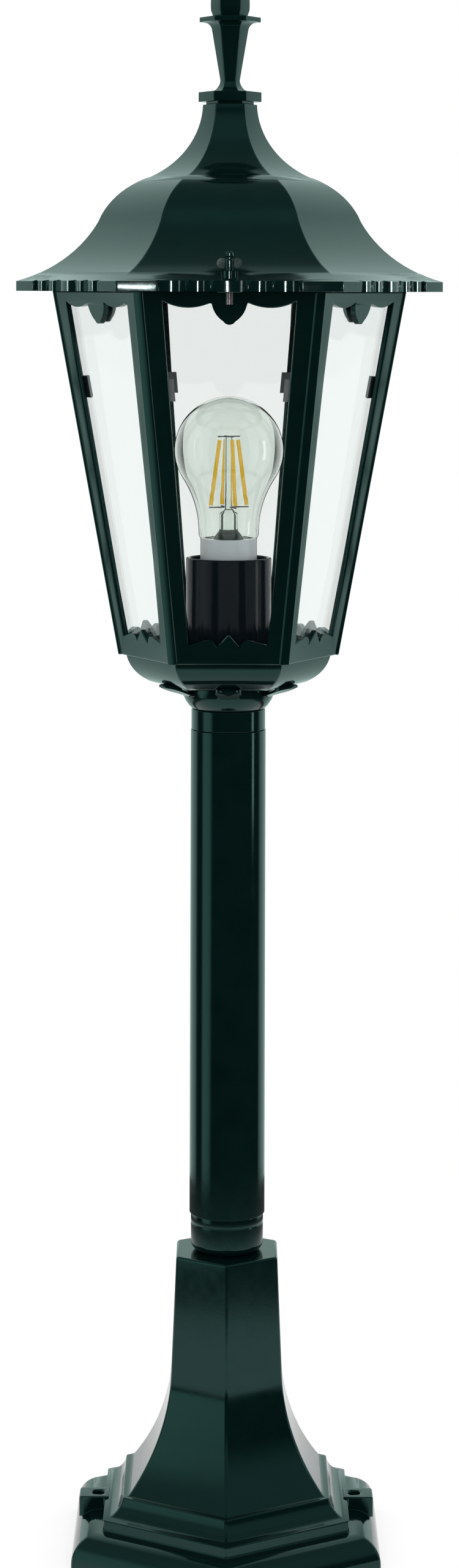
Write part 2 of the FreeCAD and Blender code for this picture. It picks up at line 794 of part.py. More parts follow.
def make_roof():
    outer = six_sided("roof_outer", roof_side(False), "YZ_Plane")
    inside = six_sided("roof_hollow", roof_side(True), "YZ_Plane")
    cusps = ["-scallop_far", "-scallop_mid", "-scallop_near", "scallop_near", "scallop_mid", "scallop_far"]
    depth = f"{flat('rim_r')}-scallop_depth"
    rim = [(start, depth, scallop(start, end), RIGHT) for start, end in zip(cusps, cusps[1:])]
    beyond = f"{flat('rim_r')}+scallop_depth"
    rim += [("scallop_far", depth), ("scallop_far", beyond), ("-scallop_far", beyond)]
    notches = outline(new_sketch(outer, "XY_Plane"), rim)
    around(outer, feature(outer, "Pocket", notches, Type="ThroughAll", SideType="Symmetric"))
    shell = shape_of("Cut", "roof_shell", [outer, inside])
    bosses = screw_rods("roof_boss", "boss_r", EAR_TOP, BOSS_TOP)
    whole = shape_of("MultiFuse", "roof_with_bosses", [shell] + bosses)
    holes = screw_rods("roof_screw_hole", "screw_r+screw_gap", EAR_TOP, ROOF_TOP)
    stud_hole = rod("roof_stud_hole", "stud_r+slide_gap", f"{ROOF_TOP}-roof_cap_wall", ROOF_TOP)
    return shape_of("Cut", "roof", [whole, shape_of("MultiFuse", "roof_holes", holes + [stud_hole])])


# Wing screws: turned post with a knob, two round ears and a plain metal stud


def make_wing_screws():
    screws = []
    seat = f"{BOSS_TOP}+screw_gap"
    neck = f"{seat}+wing_neck"
    waist = f"{neck}+wing_waist"
    knob = f"{waist}+wing_knob"
    dome = "wing_knob_r/2"
    for place, angle in zip(SCREW_PLACES, SCREW_ANGLES):
        centre = (f"{SCREW_PLACE}*sin({angle})", f"-{SCREW_PLACE}*cos({angle})")
        post = turned(f"wing_post_{place}", [
            ("0", f"{FRAME_TOP}-screw_tip"),
            ("screw_r", f"{FRAME_TOP}-screw_tip"),
            ("screw_r", seat),
            ("wing_neck_r", seat),
            ("wing_neck_r", neck),
            ("wing_waist_r", f"{neck}+wing_neck_r-wing_waist_r"),
            ("wing_waist_r", waist),
            ("wing_knob_r", f"{waist}+wing_knob_r-wing_waist_r"),
            ("wing_knob_r", f"{knob}-{dome}", f"(wing_knob_r^2+({dome})^2)/(2*({dome}))", LEFT),
            ("0", knob),
        ])
        post.setExpression("Placement.Base.x", bound(centre[0]))
        post.setExpression("Placement.Base.y", bound(centre[1]))
        ears = []
        for side, sign in (("left", "-"), ("right", "+")):
            ear = doc.addObject("Part::Cylinder", f"wing_ear_{place}_{side}")
            ear.setExpression("Radius", bound("wing_ear_r"))
            ear.setExpression("Height", bound("wing_thickness"))
            ear.setExpression("Placement", bound(
                f"placement(vector({centre[0]}{sign}wing_ear_side; {centre[1]}+wing_thickness/2;"
                f" {seat}+wing_ear_lift); rotation(0; 0; 90))"))
            ears.append(ear)
        screws.append(shape_of("MultiFuse", f"wing_screw_{place}", [post] + ears))
    return screws


# Finial, with the stud, washer and nut that hold it on the roof


def make_finial():
    plate = f"{ROOF_TOP}+finial_foot"
    form = six_sided("finial_form", [
        (flat("finial_foot_r"), ROOF_TOP),
        (flat("finial_foot_r"), plate),
        (flat("low_plate_r"), plate),
        (flat("low_plate_r"), f"{plate}+low_plate"),
        (flat("stem_flare_r"), f"{plate}+low_plate", "stem_low_bend", RIGHT),
        (flat("stem_low_r"), f"{ROOF_TOP}+stem_low"),
        (flat("stem_top_r"), f"{ROOF_TOP}+stem_top", "stem_cup_bend", RIGHT),
        (flat("stem_cup_r"), f"{ROOF_TOP}+top_plate_low"),
        (flat("top_plate_r"), f"{ROOF_TOP}+top_plate_low"),
        (flat("top_plate_r"), f"{ROOF_TOP}+top_plate_low+top_plate"),
        (flat("bud_low_r"), f"{ROOF_TOP}+top_plate_low+top_plate"),
        (flat("bud_wide_r"), f"{ROOF_TOP}+bud_wide", "bud_bend", LEFT),
        (flat("bud_tip_r"), f"{ROOF_TOP}+finial_height"),
    ], "YZ_Plane")
    socket = rod("finial_socket", "stud_r+thread_gap", ROOF_TOP, f"{ROOF_TOP}+stud_depth")
    ceiling = f"{ROOF_TOP}-roof_cap_wall"
    nut_top = f"{ceiling}-washer"
    nut_low = f"{nut_top}-stud_nut"
    return [
        shape_of("Cut", "finial", [form, socket]),
        rod("finial_stud", "stud_r", f"{nut_low}-nipple_spare", f"{ROOF_TOP}+stud_depth"),
        turned("finial_washer", [
            ("stud_r+slide_gap", nut_top), ("washer_r", nut_top),
            ("washer_r", ceiling), ("stud_r+slide_gap", ceiling),
        ]),
        hex_nut("finial_nut", "stud_nut_r", "stud_r+thread_gap", nut_low, "stud_nut"),
    ]


# Lamp holder: black sleeve, moulded insert on the nipple, screw shell and centre contact


def make_holder():
    inner = "sleeve_r-sleeve_wall"
    insert_r = f"{inner}-slide_gap"
    shell_in = "cap_r+cap_gap"
    shell_out = f"{shell_in}+shell_wall"
    cavity = f"{shell_out}+slide_gap"
    bore = "nipple_r+thread_gap"
    insert_top = f"{SLEEVE_TOP}-insert_top_gap"
    sleeve = turned("holder_sleeve", [
        (inner, FLOOR_TOP), ("sleeve_r", FLOOR_TOP), ("sleeve_r", SLEEVE_TOP), (inner, SLEEVE_TOP),
    ])
    insert = turned("holder_insert", [
        (bore, NUT_TOP), (insert_r, NUT_TOP), (insert_r, insert_top), (cavity, insert_top),
        (cavity, SOCKET_FLOOR), ("0", SOCKET_FLOOR), ("0", f"{NUT_TOP}+nipple_spare"),
        (bore, f"{NUT_TOP}+nipple_spare"),
    ])
    shell = turned("screw_shell", [
        (shell_in, SOCKET_FLOOR), (shell_out, SOCKET_FLOOR),
        (shell_out, f"{insert_top}-shell_lift"), (shell_in, f"{insert_top}-shell_lift"),
    ])
    contact = turned("centre_contact", [
        ("0", SOCKET_FLOOR), ("contact_r", SOCKET_FLOOR), ("cap_tip_r", CAP_TIP), ("0", CAP_TIP),
    ])
    return [sleeve, insert, shell, contact]


# Bulb: clear blown glass on a white collar and a screw cap, with four filaments round a glass stem


def make_bulb():
    collar_low = f"{SLEEVE_TOP}-bulb_collar_low"
    cap = turned("bulb_cap", [
        ("0", CAP_TIP), ("cap_tip_r", CAP_TIP), ("cap_r", f"{CAP_TIP}+cap_cone"),
        ("cap_r", collar_low), ("0", collar_low),
    ])
    collar = turned("bulb_collar", [
        ("0", collar_low), ("bulb_collar_r", collar_low), ("bulb_collar_r", BULB_LOW), ("0", BULB_LOW),
    ])
    centre = f"{BULB_LOW}+bulb_height-bulb_r"
    cheek = "cos(bulb_cone_angle)"
    drop = "sin(bulb_cone_angle)"
    skin = "(bulb_r-bulb_wall)"
    glass = turned("bulb_glass", [
        ("bulb_collar_r-bulb_wall", BULB_LOW),
        ("bulb_collar_r", BULB_LOW),
        ("bulb_neck_r", f"{BULB_LOW}+bulb_neck/2"),
        ("bulb_neck_r", f"{BULB_LOW}+bulb_neck", "bulb_bend", RIGHT),
        (f"bulb_r*{cheek}", f"{centre}-bulb_r*{drop}", "bulb_r", LEFT),
        ("0", f"{centre}+bulb_r"),
        ("0", f"{centre}+{skin}", skin, RIGHT),
        (f"{skin}*{cheek}", f"{centre}-{skin}*{drop}", "bulb_bend+bulb_wall", LEFT),
        ("bulb_neck_r-bulb_wall", f"{BULB_LOW}+bulb_neck"),
        ("bulb_neck_r-bulb_wall", f"{BULB_LOW}+bulb_neck/2"),
    ])
    stem_top = f"{BULB_LOW}+stem_height"
    stem = turned("bulb_stem", [
        ("0", BULB_LOW), ("stem_foot_r", BULB_LOW), ("stem_press_r", f"{BULB_LOW}+stem_foot/3"),
        ("stem_press_r", f"{BULB_LOW}+stem_foot"), ("stem_rod_r", f"{BULB_LOW}+stem_foot+stem_rod_r"),
        ("stem_rod_r", stem_top), ("0", stem_top),
    ])
    return [cap, collar, glass, stem] + make_filaments(stem_top)


def make_filaments(stem_top):
    """Four leaning filaments, with the wires that carry them at the stem's top and at its press."""
    filaments = []
    wires = []
    lean = "atan((filament_low_side-filament_top_side)/(filament_top-filament_low))"
    for index in range(FILAMENTS):
        angle = FIRST_FILAMENT + 360 // FILAMENTS * index
        low = f"{BULB_LOW}+filament_low"
        strip = doc.addObject("Part::Cylinder", f"filament_{index}")
        strip.setExpression("Radius", bound("filament_r"))
        strip.setExpression("Height", bound(f"(filament_top-filament_low)/cos({lean})"))
        strip.setExpression("Placement", bound(
            f"placement(vector(filament_low_side*cos({angle}); filament_low_side*sin({angle}); {low});"
            f" rotation({angle}; -{lean}; 0))"))
        filaments.append(strip)
        reaches = (
            ("top", "0", "filament_top_side+filament_r", f"{stem_top}+wire_r"),
            ("low", "stem_rod_r", "filament_low_side+filament_r", f"{low}-filament_r"),
        )
        for end, start, stop, height in reaches:
            wire = doc.addObject("Part::Cylinder", f"wire_{end}_{index}")
            wire.setExpression("Radius", bound("wire_r"))
            wire.setExpression("Height", bound(f"{stop}-{start}"))
            wire.setExpression("Placement", bound(
                f"placement(vector({start}*cos({angle}); {start}*sin({angle}); {height});"
                f" rotation({angle}; 90; 0))"))
            wires.append(wire)
    cross = shape_of("MultiFuse", "wire_cross", wires[0::2])
    return [group("filaments", filaments), group("filament_wires", [cross] + wires[1::2])]


LEAN = f"atan(cos(30)*{FRAME_LEAN})"
BOSS_TOP = f"{FRAME_TOP}+boss_height"
NUT_TOP = f"{FLOOR_TOP}+nut_height"
SOCKET_FLOOR = f"{NUT_TOP}+insert_base"
CAP_TIP = f"{SOCKET_FLOOR}+contact_height"
SCREW_ANGLES = (0, 120, 240)
SCREW_PLACES = ("front", "right", "left")
PANE_PLACES = ("front", "front_right", "rear_right", "rear", "rear_left", "front_left")
FILAMENTS = 4
FIRST_FILAMENT = 20

PARTS = []
PARTS.append(make_foot())
PARTS += make_pole()
PARTS += make_nipples()
PARTS.append(make_bowl())
PARTS.append(make_calyx())
PARTS.append(make_frame())
PARTS += make_panes()
PARTS.append(make_clips())
PARTS.append(make_roof())
PARTS += make_wing_screws()
PARTS += make_finial()
PARTS += make_holder()
PARTS += make_bulb()

doc.recompute()
for item in doc.Objects:
    if "Invalid" in item.State or "Error" in item.State:
        raise RuntimeError(f"{item.Label} failed: {item.State}")
for item in PARTS:
    if item.Shape.isNull() or not item.Shape.isValid():
        raise RuntimeError(f"{item.Label} has no valid shape")
os.makedirs("parts", exist_ok=True)
for item in PARTS:
    item.Shape.exportStep(f"parts/{item.Label}.step")
    print(item.Label, len(item.Shape.Solids), round(item.Shape.Volume))
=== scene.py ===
import json
import math

import bmesh
import bpy
from mathutils import Matrix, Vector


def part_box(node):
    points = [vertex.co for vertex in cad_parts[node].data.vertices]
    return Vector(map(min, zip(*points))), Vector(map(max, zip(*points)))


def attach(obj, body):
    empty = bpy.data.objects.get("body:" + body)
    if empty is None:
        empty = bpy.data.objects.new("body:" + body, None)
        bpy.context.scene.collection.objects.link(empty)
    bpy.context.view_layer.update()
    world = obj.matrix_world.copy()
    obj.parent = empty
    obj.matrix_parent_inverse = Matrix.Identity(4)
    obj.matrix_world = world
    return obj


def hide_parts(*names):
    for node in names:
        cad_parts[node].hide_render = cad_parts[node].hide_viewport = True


bl_info = {
    "name": "Garden Lantern",
    "version": (1, 0, 0),
    "blender": (4, 5, 0),
    "location": "View3D > Sidebar > Lantern",
    "description": "Dresses a pole lantern in its coat, glass and fittings",
    "category": "Add Mesh",
}

# Frame
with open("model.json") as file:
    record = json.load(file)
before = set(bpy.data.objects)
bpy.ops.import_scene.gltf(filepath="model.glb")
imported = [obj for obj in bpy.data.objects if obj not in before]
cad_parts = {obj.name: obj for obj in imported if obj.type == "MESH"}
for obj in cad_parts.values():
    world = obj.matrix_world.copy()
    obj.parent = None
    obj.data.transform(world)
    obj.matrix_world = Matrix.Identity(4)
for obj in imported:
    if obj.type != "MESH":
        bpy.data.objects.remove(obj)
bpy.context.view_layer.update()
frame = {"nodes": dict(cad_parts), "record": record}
SLOTS = {row["node"]: row["material_slot"] for row in frame["record"]["subparts"]}
BODY_OF = {node: body for body, nodes in frame["record"]["behaviour"]["bodies"].items()
           for node in nodes}
SCREW_NODES = ("wing_screw_front", "wing_screw_right", "wing_screw_left")
PANE_NODES = ("pane_front", "pane_front_right", "pane_rear_right", "pane_rear", "pane_rear_left",
              "pane_front_left")

MM = 0.001
# Corners that lie closer than this are one
MERGE = 0.004 * MM
# Facets that turn by less than this lie in one plane
FLAT = math.radians(0.1)
# Degrees past which two facets meet in a sharp edge: on most pieces, and on blown glass
SHARP = 28.0
SHARP_ON_GLASS = 60.0
# Share of a facet that the rounding of one edge may take, and the width below which an edge stays sharp
ROOM = 0.42
LEAST_ROOM = 0.5 * MM
# Edges that turn by less than this belong to one run
RUN_BEND = math.radians(40)
# The edges of the foot and the finial are this much rounder than those of like pieces
FOOT_EDGE = 1.5
FINIAL_EDGE = 2
# Radius of the screws' studs. Their thread ends this many pitches below the top of the frame
STUD_R = 1.95 * MM
PLAIN_PITCHES = 4
# Points in each turn of the thread, and sides of its ridge
TURN_STEPS = 24
RIDGE_SIDES = 4


def linear(colour):
    """Linear RGB of an sRGB hex colour such as #0c2a28."""
    parts = [int(colour[i:i + 2], 16) / 255 for i in (1, 3, 5)]
    return tuple(c / 12.92 if c <= 0.04045 else ((c + 0.055) / 1.055) ** 2.4 for c in parts)


def low(node):
    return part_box(node)[0]


def high(node):
    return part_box(node)[1]


# Settings


def length(name, description, millimetres):
    return bpy.props.FloatProperty(name=name, description=description, default=millimetres * MM, min=0.0,
                                   unit="LENGTH", precision=5)


def share(name, description, value):
    return bpy.props.FloatProperty(name=name, description=description, default=value, min=0.0, max=1.0,
                                   subtype="FACTOR")


def tint(name, description, colour):
    return bpy.props.FloatVectorProperty(name=name, description=description, default=linear(colour),
                                         size=3, min=0.0, max=1.0, subtype="COLOR")


class LanternFinish(bpy.types.PropertyGroup):
    """Colours and gloss of the lantern's finishes."""
    coat: tint("Coat", "Powder coat where it lies at its full thickness", "#031312")
    coat_thin: tint("Thin coat", "Powder coat where it runs thin over the casting's grain", "#061c1b")
    coat_sheen: tint("Coat sheen", "Colour of what the coat mirrors", "#9adcd3")
    coat_roughness: share("Coat roughness", "Gloss of the cured coat", 0.1)
    bare_metal: tint("Bare steel", "Screw tips, nuts and nipples", "#a9abad")
    spring: tint("Spring steel", "Strips that hold the panes", "#7d8083")
    pane: tint("Pane glass", "Colour that light takes on through a pane", "#fafcfb")
    bulb: tint("Bulb glass", "Colour that light takes on through the bulb", "#f5faf6")
    holder: tint("Holder", "Black moulded sleeve of the lamp holder", "#06121a")
    insert: tint("Insert", "Pale moulded insert of the lamp holder", "#d8d4c8")
    brass: tint("Brass", "Contacts of the lamp holder", "#c9a35c")
    cap: tint("Bulb cap", "Rolled cap of the bulb", "#c4c6c8")
    collar: tint("Bulb collar", "White collar between cap and glass", "#dbe3e6")
    phosphor: tint("Filament", "Yellow coating of the filaments", "#f8c230")
    wire: tint("Wire", "Wires that carry the filaments", "#5b5c5e")


class LanternForm(bpy.types.PropertyGroup):
    """Sizes that finish the castings and the lamp."""
    cast_edge: length("Cast edge", "Rounding of the castings' outer edges", 0.8)
    fine_edge: length("Fine edge", "Rounding of small and turned pieces", 0.25)
    glass_edge: length("Glass edge", "Ground edge of the panes", 0.3)
    thread_pitch: length("Screw pitch", "Thread pitch of the roof screws", 0.7)
    thread_depth: length("Screw thread", "Height of the roof screws' thread", 0.16)


class LanternStudio(bpy.types.PropertyGroup):
    """Camera and light."""
    distance: length("Camera distance", "From the pole's axis to the camera", 1800.0)
    height: length("Camera height", "Above the ground, level with the eaves", 702.0)
    reach: bpy.props.FloatProperty(
        name="Lens", description="Focal length for each width of the long side", default=2.051, min=0.5)
    drop: bpy.props.FloatProperty(name="Shift", description="Lens shift as a share of the long side",
                                  default=-0.3164, min=-1.0, max=1.0)
    roll: bpy.props.FloatProperty(name="Roll", description="Lean of the picture",
                                  default=math.radians(-0.16), subtype="ANGLE")
    ambient: share("Ambient", "Even light on matt surfaces", 0.62)
    floor_glow: share("Floor white", "Own brightness of the floor to the camera", 0.7)


# Materials

# Most of a noise texture lies between these values
NOISE_LOW, NOISE_HIGH = 0.3, 0.7
# A wave texture of scale 1 has this many radians in each metre
WAVE_RADIANS = 20


def add(tree, kind, settings=None, **inputs):
    """Adds a node with its settings, and fills its inputs, by name or as i0, i1 and so on."""
    item = tree.nodes.new(kind)
    for key, value in (settings or {}).items():
        setattr(item, key, value)
    for key, value in inputs.items():
        numbered = key[0] == "i" and key[1:].isdigit()
        socket = item.inputs[int(key[1:]) if numbered else key.replace("_", " ")]
        if isinstance(value, bpy.types.NodeSocket):
            tree.links.new(value, socket)
        else:
            socket.default_value = value
    return item


def new_material(name):
    material = bpy.data.materials.new(name)
    material.use_nodes = True
    material.node_tree.nodes.clear()
    return material, material.node_tree


def grain(tree, size_mm, detail=2.0):
    """Noise on the piece's own coordinates, with features about size_mm wide."""
    place = add(tree, "ShaderNodeTexCoord").outputs["Object"]
    noise = add(tree, "ShaderNodeTexNoise", Vector=place, Scale=1 / (size_mm * MM), Detail=detail)
    return noise.outputs["Fac"]


def bands(tree, spacing_mm, **inputs):
    """Waves along Z on the piece's own coordinates, spacing_mm apart."""
    place = add(tree, "ShaderNodeTexCoord").outputs["Object"]
    wave = add(tree, "ShaderNodeTexWave", {"bands_direction": "Z"}, Vector=place,
               Scale=math.tau / (WAVE_RADIANS * spacing_mm * MM), **inputs)
    return wave.outputs["Fac"]


def opaque(tree, pattern, tones, gloss, speck_mm, skin=None, skin_mm=0.0):
    """Shader whose colour runs between two tones and whose gloss varies in specks, with a fine relief."""
    shade = add(tree, "ShaderNodeMix", {"data_type": "RGBA"}, i0=pattern, i6=(*tones[0], 1),
                i7=(*tones[1], 1))
    rough = add(tree, "ShaderNodeMapRange", Value=grain(tree, speck_mm), From_Min=NOISE_LOW,
                From_Max=NOISE_HIGH, To_Min=gloss[0], To_Max=gloss[1])
    shader = add(tree, "ShaderNodeBsdfPrincipled", Base_Color=shade.outputs[2],
                 Roughness=rough.outputs["Result"])
    if skin:
        relief = add(tree, "ShaderNodeBump", Height=skin, Distance=skin_mm * MM, Strength=1.0)
        tree.links.new(relief.outputs["Normal"], shader.inputs["Normal"])
    add(tree, "ShaderNodeOutputMaterial", Surface=shader.outputs[0])
    return shader


def darker(colour, part):
    return [c * part for c in colour]


def powder_coat(finish):
    """Powder-coated cast aluminium: a deep green film with a hard gloss and a faint orange peel."""
    material, tree = new_material("powder_coat")
    gloss = (finish.coat_roughness * 0.8, finish.coat_roughness * 1.25)
    # Orange peel is about 1.5 mm wide on a powder coat
    peel = grain(tree, size_mm=1.5, detail=1.0)
    cloud = grain(tree, size_mm=18.0)
    shader = opaque(tree, cloud, (finish.coat, finish.coat_thin), gloss, speck_mm=6.0, skin=peel,
                    skin_mm=0.005)
    shader.inputs["IOR"].default_value = 1.6
    shader.inputs["Specular Tint"].default_value = (*finish.coat_sheen, 1)
    return material


def turned_metal(name, colour, roughness, ring_mm):
    """Plated, pressed or drawn metal: its own colour with a soft shine and fine tool rings along Z."""
    material, tree = new_material(name)
    rings = bands(tree, ring_mm, Distortion=1.5, Detail=2.0)
    gloss = (roughness * 0.8, roughness * 1.2)
    shader = opaque(tree, rings, (darker(colour, 0.82), colour), gloss, speck_mm=0.8, skin=rings,
                    skin_mm=0.01)
    shader.inputs["Metallic"].default_value = 1.0
    return material


def clear_glass(name, colour, ior, wave_mm, wave_depth_mm):
    """Clear glass that lets lamps through, with the slow waves of its making."""
    material, tree = new_material(name)
    waves = add(tree, "ShaderNodeBump", Height=grain(tree, wave_mm, detail=0.0),
                Distance=wave_depth_mm * MM, Strength=1.0)
    glass = add(tree, "ShaderNodeBsdfPrincipled", Base_Color=(*colour, 1), Normal=waves.outputs["Normal"])
    glass.inputs["Roughness"].default_value = 0.0
    glass.inputs["Transmission Weight"].default_value = 1.0
    glass.inputs["IOR"].default_value = ior
    through = add(tree, "ShaderNodeBsdfTransparent", Color=(*colour, 1))
    path = add(tree, "ShaderNodeLightPath")
    mix = add(tree, "ShaderNodeMixShader", i0=path.outputs["Is Shadow Ray"], i1=glass.outputs[0],
              i2=through.outputs[0])
    add(tree, "ShaderNodeOutputMaterial", Surface=mix.outputs[0])
    return material


def moulded(name, colour, roughness, grain_mm, depth_mm, ior=1.5):
    """Moulded plastic or ceramic: even colour, soft gloss and a slight tool texture."""
    material, tree = new_material(name)
    gloss = (roughness * 0.85, roughness * 1.15)
    skin = grain(tree, grain_mm, detail=1.0)
    cloud = grain(tree, size_mm=8 * grain_mm)
    shader = opaque(tree, cloud, (darker(colour, 0.92), colour), gloss, speck_mm=3 * grain_mm, skin=skin,
                    skin_mm=depth_mm)
    shader.inputs["IOR"].default_value = ior
    return material


def phosphor_strip_painted_glow(finish):
    """Silicone and phosphor over a row of small diodes: warm yellow, with paler spots along the strip, and
    a faint painted glow.
    """
    material, tree = new_material("phosphor_strip_painted_glow")
    tones = (darker(finish.phosphor, 0.8), finish.phosphor)
    # Diodes are about 1.3 mm apart
    spots = bands(tree, spacing_mm=1.3)
    shader = opaque(tree, spots, tones, gloss=(0.3, 0.45), speck_mm=0.6)
    # Painted glow: the strips give off a faint yellow light of their own, though the bulb is not lit
    shader.inputs["Emission Color"].default_value = (*finish.phosphor, 1)
    shader.inputs["Emission Strength"].default_value = 0.35
    shader.inputs["Subsurface Weight"].default_value = 0.15
    shader.inputs["Subsurface Radius"].default_value = (1.0 * MM, 0.6 * MM, 0.2 * MM)
    return material


def make_materials():
    """Every finish, by the record's material slot."""
    finish = bpy.context.scene.lantern_finish
    return {
        # Deep green film that mirrors the room
        "coat": powder_coat(finish),
        # Light grey with a dull shine
        "zinc_steel": turned_metal("zinc_plated_steel", finish.bare_metal, roughness=0.32, ring_mm=0.35),
        # Darker grey, rolled smooth
        "spring_steel": turned_metal("spring_strip", finish.spring, roughness=0.35, ring_mm=0.5),
        # Nearly colourless, and almost flat
        "pane_glass": clear_glass("float_glass", finish.pane, ior=1.5, wave_mm=60.0, wave_depth_mm=0.004),
        # Black with a smooth gloss and a weak mirror
        "holder_black": moulded("black_bakelite", finish.holder, roughness=0.12, grain_mm=0.9,
                                depth_mm=0.003, ior=1.25),
        # Off-white and half matt
        "holder_white": moulded("pale_ceramic", finish.insert, roughness=0.4, grain_mm=0.8, depth_mm=0.01),
        # Yellow shine
        "contact_brass": turned_metal("pressed_brass", finish.brass, roughness=0.3, ring_mm=0.6),
        # Pale silver with rolled rings
        "bulb_metal": turned_metal("rolled_aluminium", finish.cap, roughness=0.3, ring_mm=0.4),
        # Cool white with a soft gloss
        "bulb_white": moulded("white_plastic", finish.collar, roughness=0.35, grain_mm=0.7, depth_mm=0.006),
        # Faint green, with the waves of blowing
        "bulb_glass": clear_glass("blown_glass", finish.bulb, ior=1.47, wave_mm=22.0, wave_depth_mm=0.012),
        # Warm yellow strips with a faint painted glow
        "filament_yellow": phosphor_strip_painted_glow(finish),
        # Dark grey with a dull shine
        "filament_wire": turned_metal("drawn_wire", finish.wire, roughness=0.4, ring_mm=0.3),
    }


MATERIALS = {}


# Pieces


def new_object(name, mesh):
    item = bpy.data.objects.new(name, mesh)
    bpy.context.collection.objects.link(item)
    return item


def settled(item):
    """Turns an object's modifiers into plain mesh."""
    bpy.context.view_layer.update()
    graph = bpy.context.evaluated_depsgraph_get()
    mesh = bpy.data.meshes.new_from_object(item.evaluated_get(graph))
    item.modifiers.clear()
    item.data = mesh
    return item


def joined(item, node):
    """Puts a piece on its node's body."""
    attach(item, BODY_OF[node])
    return item


def merged_copy(node):
    """Mesh of a CAD node with its corners merged and its flat facets evened out."""
    mesh = bpy.data.meshes.new(f"{node}_dressed")
    work = bmesh.new()
    work.from_mesh(frame["nodes"][node].data)
    bmesh.ops.remove_doubles(work, verts=work.verts, dist=MERGE)
    flat = [side for side in work.edges if len(side.link_faces) == 2 and side.calc_face_angle() < FLAT]
    facets = dict.fromkeys(face for side in flat for face in side.link_faces)
    bmesh.ops.beautify_fill(work, faces=list(facets), edges=flat)
    work.to_mesh(mesh)
    work.free()
    mesh.materials.clear()
    return mesh


def bend(corner, first, second):
    """Turn from one edge to the next at their shared corner."""
    ahead = second.other_vert(corner).co - corner.co
    return (corner.co - first.other_vert(corner).co).angle(ahead, 0.0)


def edge_runs(edges):
    """Sharp edges grouped into smooth runs."""
    left = dict.fromkeys(edges)
    runs = []
    while left:
        run = [left.popitem()[0]]
        for side in run:
            for corner in side.verts:
                for other in corner.link_edges:
                    if other in left and bend(corner, side, other) < RUN_BEND:
                        del left[other]
                        run.append(other)
        runs.append(run)
    return runs


def mark_edges(mesh, edge, sharp):
    """Marks sharp edges for rounding: one width for each smooth run, less where room is short."""
    work = bmesh.new()
    work.from_mesh(mesh)
    weight = work.edges.layers.float.new("bevel_weight_edge")
    edges = [side for side in work.edges
             if len(side.link_faces) == 2 and side.calc_face_angle() > math.radians(sharp)]
    for run in edge_runs(edges):
        room = min(2 * face.calc_area() / side.calc_length() for side in run for face in side.link_faces)
        room = min(room, sum(side.calc_length() for side in run))
        for side in run:
            side.smooth = room > LEAST_ROOM
            side[weight] = min(1.0, ROOM * room / edge) * side.smooth
    work.to_mesh(mesh)
    work.free()


def dressed(node, edge, segments=2, sharp=SHARP):
    """Copy of a CAD node with rounded edges, in place of the plain solid."""
    item = new_object(f"{node}_dressed", merged_copy(node))
    item.data.materials.append(MATERIALS[SLOTS[node]])
    for face in item.data.polygons:
        face.use_smooth = True
    mark_edges(item.data, edge, sharp)
    bevel = item.modifiers.new("edges", "BEVEL")
    bevel.width = edge
    bevel.segments = segments
    bevel.limit_method = "WEIGHT"
    bevel.use_clamp_overlap = False
    weights = item.modifiers.new("weights", "WEIGHTED_NORMAL")
    weights.mode = "FACE_AREA_WITH_ANGLE"
    weights.keep_sharp = True
    settled(item)
    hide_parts(node)
    return joined(item, node)


def painted(*nodes):
    """Gives CAD nodes that stay as they are their finish."""
    for node in nodes:
        data = frame["nodes"][node].data
        data.materials.clear()
        data.materials.append(MATERIALS[SLOTS[node]])


# Threads


def thread_tree():
    """Helical ridge of one thread, with its sizes as inputs."""
    tree = bpy.data.node_groups.new("screw_thread", "GeometryNodeTree")
    sockets = {}
    for name, kind in (("Radius", "Float"), ("Pitch", "Float"), ("Length", "Float"), ("Depth", "Float"),
                       ("Finish", "Material")):
        sockets[name] = tree.interface.new_socket(name, in_out="INPUT", socket_type=f"NodeSocket{kind}")
    tree.interface.new_socket("Geometry", in_out="OUTPUT", socket_type="NodeSocketGeometry")
    given = add(tree, "NodeGroupInput").outputs
    turns = add(tree, "ShaderNodeMath", {"operation": "DIVIDE"}, i0=given["Length"], i1=given["Pitch"])
    spiral = add(tree, "GeometryNodeCurveSpiral", Resolution=TURN_STEPS, Rotations=turns.outputs[0],
                 Start_Radius=given["Radius"], End_Radius=given["Radius"], Height=given["Length"])
    ridge = add(tree, "GeometryNodeCurvePrimitiveCircle", Resolution=RIDGE_SIDES, Radius=given["Depth"])
    tube = add(tree, "GeometryNodeCurveToMesh", Curve=spiral.outputs[0], Profile_Curve=ridge.outputs[0],
               Fill_Caps=True)
    whole = add(tree, "GeometryNodeRealizeInstances", Geometry=tube.outputs[0])
    coated = add(tree, "GeometryNodeSetMaterial", Geometry=whole.outputs[0], Material=given["Finish"])
    add(tree, "NodeGroupOutput", Geometry=coated.outputs[0])
    return tree, {name: socket.identifier for name, socket in sockets.items()}


THREAD = {}


def thread(name, node, slot, place, **sizes):
    """One thread as a plain mesh on its node's body."""
    tree, names = THREAD["tree"]
    item = new_object(name, bpy.data.meshes.new(name))
    maker = item.modifiers.new("thread", "NODES")
    maker.node_group = tree
    for key, value in sizes.items():
        maker[names[key]] = value
    maker[names["Finish"]] = MATERIALS[slot]
    settled(item)
    item.data.transform(Matrix.Translation(place))
    return joined(item, node)


# Operators


class LANTERN_OT_foot(bpy.types.Operator):
    """Rounds and coats the cast foot"""
    bl_idname = "lantern.foot"
    bl_label = "Foot"

    def execute(self, context):
        dressed("foot", context.scene.lantern_form.cast_edge * FOOT_EDGE, segments=3)
        return {"FINISHED"}


class LANTERN_OT_pole(bpy.types.Operator):
    """Coats the tube with its collar and plug"""
    bl_idname = "lantern.pole"
    bl_label = "Pole"

    def execute(self, context):
        form = context.scene.lantern_form
        dressed("pole_tube", form.fine_edge)
        dressed("pole_bottom_collar", form.cast_edge)
        dressed("pole_top_plug", form.cast_edge)
        return {"FINISHED"}


